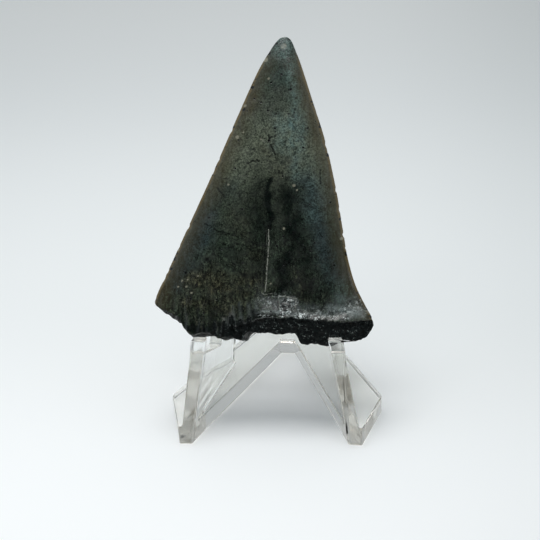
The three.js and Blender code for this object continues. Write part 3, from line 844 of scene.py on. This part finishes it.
def enamel_material():
    made, n = material("fossil_enamel")
    in_mm = n.in_mm()
    face = n.scaled(n.add("ShaderNodeUVMap", uv_map="face").outputs[0], MAP_MM)
    height = n.add("ShaderNodeSeparateXYZ", {0: face}).outputs[1]
    edge, broken = n.mask("edge_mm"), n.mask("broken")
    hollow, spark = n.mask("hollow"), n.mask("spark")
    clouds = n.noise(in_mm, 0.13, 7, 0.62, 0.4)
    blotches = n.noise(n.stretch(in_mm, (1, 1, 0.8), shift=(31, 7, 3)), 0.34, 8, 0.68)
    colour, deep = stain_and_sheen_colour(n, height, clouds, blotches)
    colour = grained_colour(n, colour, in_mm, height, blotches, deep)
    colour = edged_colour(n, colour, in_mm, height, edge)
    pit, scratch, speck_and_highlight, pale = small_marks(n, in_mm, face)
    colour = n.mix(n.both(scratch, 0.85), colour, SCRATCH_BLACK)
    colour = n.mix(n.both(pale, 0.9), colour, PALE_LINE)
    colour = n.mix(n.both(speck_and_highlight, 0.75), colour, PALE_SPECK_AND_HIGHLIGHT)

    # Glints and crackle above the break, then the broken base and the deep folds.
    gritty = n.noise(in_mm, 1.5, 8, 0.7)
    painted_glint = n.mask("painted_glint")
    # The dark specks are the enamel's crackle; the white specks are painted glints.
    crackle_and_glints = n.math("MAXIMUM", n.both(spark, 0.42), n.mask("chip_and_glints"))
    chatter = n.noise(in_mm, 1.15, 6, 0.80)
    # Painted highlights: the glint strokes lighten the colour, broken up by grit.
    painted_glint = n.both(painted_glint, n.ramp(gritty, 0.42, 0.58, 0.28, 0.66))
    colour = n.mix(painted_glint, colour, PAINTED_GLINT_GREY)
    colour = n.mix(n.both(crackle_and_glints, n.ramp(chatter, 0.51, 0.47)), colour, CHIP_BLACK)
    colour = n.mix(n.both(crackle_and_glints, n.ramp(chatter, 0.54, 0.57)), colour, PAINTED_GLINT_WHITE)
    black = n.mix(n.ramp(gritty, 0.60, 0.82), GRIT_BLACK, GRIT_GREY)
    colour = n.mix(broken, colour, black)
    colour = n.mix(n.both(hollow, 0.9), colour, FOLD_BLACK)
    colour = n.mix(pit, colour, PIT_BLACK)

    rough = n.ramp(n.noise(in_mm, 0.35, 6, 0.6), 0.3, 0.7, 0.18, 0.32)
    rough = n.math("ADD", rough, n.both(broken, -0.03))

    relief = n.both(n.noise(in_mm, 0.8, 4, 0.5), 0.06)
    fine = n.noise(in_mm, 2.8, 4, 0.6)
    fine = n.both(fine, n.math("ADD", 0.016, n.both(spark, 0.16)))
    relief = n.math("ADD", relief, fine)
    marks = n.math("ADD", n.both(pit, 0.03), n.both(scratch, 0.012))
    relief = n.math("SUBTRACT", relief, marks)
    relief = n.math("ADD", relief, n.both(n.both(gritty, broken), 0.12))
    bump = n.bump(relief)

    shader = n.add("ShaderNodeBsdfPrincipled", {
        "Base Color": colour, "Roughness": rough, "Normal": bump, "IOR": ENAMEL_IOR})
    n.add("ShaderNodeOutputMaterial", {"Surface": shader.outputs[0]})
    return made


def break_material():
    """The rough black inside of the tooth, where its root is broken off."""
    made, n = material("fossil_break")
    in_mm = n.in_mm()
    gritty = n.noise(in_mm, 1.3, 8, 0.72)
    cells = n.add("ShaderNodeTexVoronoi", {"Vector": in_mm, "Scale": 1.5}).outputs["Distance"]
    colour = n.mix(n.ramp(gritty, 0.45, 0.62), BREAK_BLACK, BREAK_GREY)
    # Painted glints: bright specks in the grit.
    painted_glints = n.ramp(n.noise(in_mm, 1.45, 5, 0.8), 0.58, 0.63)
    painted_glints = n.both(painted_glints, n.ramp(n.noise(in_mm, 0.45, 3, 0.6), 0.42, 0.58, 0.15, 1.0))
    colour = n.mix(painted_glints, colour, BREAK_PAINTED_GLINT)
    rust = n.both(n.ramp(n.noise(in_mm, 0.30, 4, 0.6), 0.58, 0.75), 0.5)
    colour = n.mix(rust, colour, RUST)
    rough = n.ramp(gritty, 0.35, 0.65, 0.50, 0.28)
    relief = n.math("ADD", n.both(gritty, 0.22), n.both(cells, 0.10))
    bump = n.bump(relief)
    shader = n.add("ShaderNodeBsdfPrincipled", {
        "Base Color": colour, "Roughness": rough, "Normal": bump,
        "Specular IOR Level": BREAK_SHINE, "IOR": BREAK_IOR})
    n.add("ShaderNodeOutputMaterial", {"Surface": shader.outputs[0]})
    return made


def acrylic_material():
    made, n = material("clear_acrylic")
    in_mm = n.in_mm()
    flow = n.noise(n.stretch(in_mm, (1, 0.6, 0.8)), 0.11, 2, 0.5)
    bump = n.bump(n.both(flow, 0.04))
    smear = n.ramp(n.noise(in_mm, 0.25, 5, 0.6), 0.45, 0.75, 0.015, 0.05)
    smear = n.math("ADD", smear, n.both(n.mask("satin"), 0.14))
    # The plate's level tops get a grey tint, most in the middle: painted shade for the table's
    # shadow seen through them.
    painted_plate_shade = n.mask("painted_plate_shade")
    across = n.add("ShaderNodeSeparateXYZ", {0: in_mm}).outputs[0]
    off_middle = n.math("ABSOLUTE", n.math("SUBTRACT", across, STAND_MIDDLE_X / MM))
    painted_plate_shade = n.both(painted_plate_shade, n.ramp(off_middle, 25.0, 17.0, 0.1, 1.0))
    clear = n.mix(painted_plate_shade, CLEAR, PAINTED_SHADE_CLEAR)
    shader = n.add("ShaderNodeBsdfPrincipled", {
        "Base Color": clear, "Roughness": smear, "Normal": bump,
        "IOR": ACRYLIC_IOR, "Transmission Weight": 1.0})
    tint = n.add("ShaderNodeVolumeAbsorption", {"Color": CLEAR_TINT, "Density": CLEAR_DENSITY})
    n.add("ShaderNodeOutputMaterial", {"Surface": shader.outputs[0], "Volume": tint.outputs[0]})
    return made


def floor_material():
    made, n = material("pale_table")
    where = n.add("ShaderNodeTexCoord").outputs["Object"]
    across, away = n.add("ShaderNodeSeparateXYZ", {0: where}).outputs[:2]
    # Painted light and shade: lighter in front and far off, darker from the stand back, darker
    # towards the right.
    tone = n.mix(n.ramp(away, -0.08, 0.06), TABLE_PAINTED_LIGHT_NEAR, TABLE_PAINTED_SHADE)
    tone = n.mix(n.ramp(away, 0.25, 0.60), tone, TABLE_PAINTED_LIGHT_FAR)
    shade = n.mix(n.ramp(across, -0.02, 0.20), TABLE_UNSHADED, TABLE_PAINTED_SIDE_SHADE)
    tone = n.mix(1.0, tone, shade, "MULTIPLY")
    shader = n.add("ShaderNodeBsdfPrincipled", {
        "Base Color": tone, "Roughness": 0.6, "IOR": TABLE_IOR})
    n.add("ShaderNodeOutputMaterial", {"Surface": shader.outputs[0]})
    return made


# ---- Camera, table and light ----

CAMERA_ELEVATION = math.radians(24)
CAMERA_AZIMUTH = math.radians(7.52)  # towards +X
CAMERA_ROLL = math.radians(-3.41)
CAMERA_DISTANCE = 0.300
CAMERA_TARGET_MM = (2.77, 0.0, 51.38)  # from FEET
CAMERA_LENS_MM = 80.0
CAMERA_SENSOR_MM = 36.0
CAMERA_NEAREST = 0.01
AIR_GAP = 0.3 * MM  # keeps the clear feet from touching the table all over, as moulded feet do
TABLE_RADIUS = 9.0
TABLE_SIDES = 64

LAMP_AIM = (0, 0, 0.02)
TOP_PANEL = (-0.06, 0.02, 0.50)
WARM_WHITE = (1.0, 0.985, 0.97)
COOL_WHITE = (0.96, 0.98, 1.0)
# Name, place, size, power in watts, colour, and whether the clear stand lets its light past.
LAMPS = [
    ("top_panel", TOP_PANEL, (0.24, 0.24), 0.90, WARM_WHITE, True),
    ("top_panel_core", TOP_PANEL, (0.24, 0.24), 0.32, WARM_WHITE, False),
    ("front_strip", (-0.04, -0.30, 0.44), (0.30, 0.05), 0.30, COOL_WHITE, True),
]

ROOM_LOW = rgb(0.38, 0.40, 0.405)
ROOM_HIGH = rgb(0.56, 0.58, 0.585)
ROOM_SIDES = rgb(0.56, 0.64, 0.70)
DARK_SIDE = rgb(0.24, 0.245, 0.24)
DARK_SIDE_REFLECTED = rgb(0.012, 0.016, 0.015)
SKIRTING = rgb(0.17, 0.175, 0.17)
UPWARDS = (0, 0, 1)
LIGHT_BOUNCES = 64  # light crosses many clear walls before it leaves the stand


def set_camera():
    e, a = CAMERA_ELEVATION, CAMERA_AZIMUTH
    forward = Vector((-math.sin(a) * math.cos(e), math.cos(a) * math.cos(e), -math.sin(e)))
    right = Vector((math.cos(a), math.sin(a), 0))
    above = right.cross(forward)
    turned_right = right * math.cos(CAMERA_ROLL) + above * math.sin(CAMERA_ROLL)
    turned_up = above * math.cos(CAMERA_ROLL) - right * math.sin(CAMERA_ROLL)
    turn = Matrix((turned_right, turned_up, -forward)).transposed()
    data = bpy.data.cameras.new("camera")
    data.lens, data.sensor_width = CAMERA_LENS_MM, CAMERA_SENSOR_MM
    data.clip_start = CAMERA_NEAREST
    camera = bpy.data.objects.new("camera", data)
    bpy.context.scene.collection.objects.link(camera)
    place = FEET + Vector(CAMERA_TARGET_MM) * MM - forward * CAMERA_DISTANCE
    camera.matrix_world = Matrix.Translation(place) @ turn.to_4x4()
    bpy.context.scene.camera = camera


def add_floor():
    bm = bmesh.new()
    below_feet = Matrix.Translation((0, 0, -AIR_GAP))
    bmesh.ops.create_circle(bm, cap_ends=True, radius=TABLE_RADIUS, segments=TABLE_SIDES,
                            matrix=below_feet)
    floor = mesh_piece("table_top", bm)
    floor.data.materials.append(floor_material())
    return floor


def add_panel_light(name, place, size, power, colour, blockers):
    data = bpy.data.lights.new(name, "AREA")
    data.shape, data.size, data.size_y = "RECTANGLE", size[0], size[1]
    data.energy, data.color = power, colour
    lamp = bpy.data.objects.new(name, data)
    bpy.context.scene.collection.objects.link(lamp)
    lamp.location = place
    if blockers:
        lamp.light_linking.blocker_collection = blockers
    lamp.rotation_euler = (Vector(LAMP_AIM) - Vector(place)).to_track_quat("-Z", "Y").to_euler()


def set_lights(solid_pieces):
    """Soft panels, most of whose light the clear stand doesn't stop."""
    blockers = bpy.data.collections.new("solid_to_lamps")
    for piece in solid_pieces:
        blockers.objects.link(piece)
    for name, place, size, power, colour, past_stand in LAMPS:
        add_panel_light(name, place, size, power, colour, blockers if past_stand else None)


def set_room():
    """A pale room around the table, and how its light is carried and shown."""
    world = bpy.data.worlds.new("room")
    bpy.context.scene.world = world
    world.use_nodes = True
    n = Nodes(world.node_tree)
    sight = n.add("ShaderNodeTexCoord").outputs["Generated"]

    def facing(direction, low, high):
        toward = Vector(direction).normalized()
        return n.ramp(n.vector("DOT_PRODUCT", sight, toward, "Value"), low, high)

    room = n.mix(facing(UPWARDS, 0.1, 0.9), ROOM_LOW, ROOM_HIGH)
    room = n.mix(facing((-1, -0.55, 0.3), 0.75, 0.97), room, ROOM_SIDES)
    room = n.mix(facing((1, -0.45, 0.3), 0.75, 0.97), room, ROOM_SIDES)
    # One side of the room is dark in reflections, and only grey through the clear stand.
    path = n.add("ShaderNodeLightPath").outputs
    dark_side = n.mix(path["Is Glossy Ray"], DARK_SIDE, DARK_SIDE_REFLECTED)
    room = n.mix(facing((-0.10, -0.95, 0.26), 0.60, 0.88), room, dark_side)
    skirting = n.both(facing(UPWARDS, 0.50, 0.12), path["Is Transmission Ray"])
    room = n.mix(skirting, room, SKIRTING)
    n.add("ShaderNodeOutputWorld", {
        "Surface": n.add("ShaderNodeBackground", {"Color": room, "Strength": 1.0}).outputs[0]})
    scene = bpy.context.scene
    scene.view_settings.view_transform = "Standard"
    scene.view_settings.look = "None"
    scene.cycles.max_bounces = LIGHT_BOUNCES
    scene.cycles.glossy_bounces = LIGHT_BOUNCES
    scene.cycles.transmission_bounces = LIGHT_BOUNCES


# ---- Putting it together ----

set_camera()
table_top = add_floor()

tooth = build_tooth()
tooth.data.materials.append(enamel_material())
tooth.data.materials.append(break_material())
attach(tooth, "root")
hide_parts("tooth")

stand = build_stand()
stand.data.materials.append(acrylic_material())
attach(stand, "root")
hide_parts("stand")

set_lights([tooth, table_top])
set_room()

bpy.context.view_layer.update()
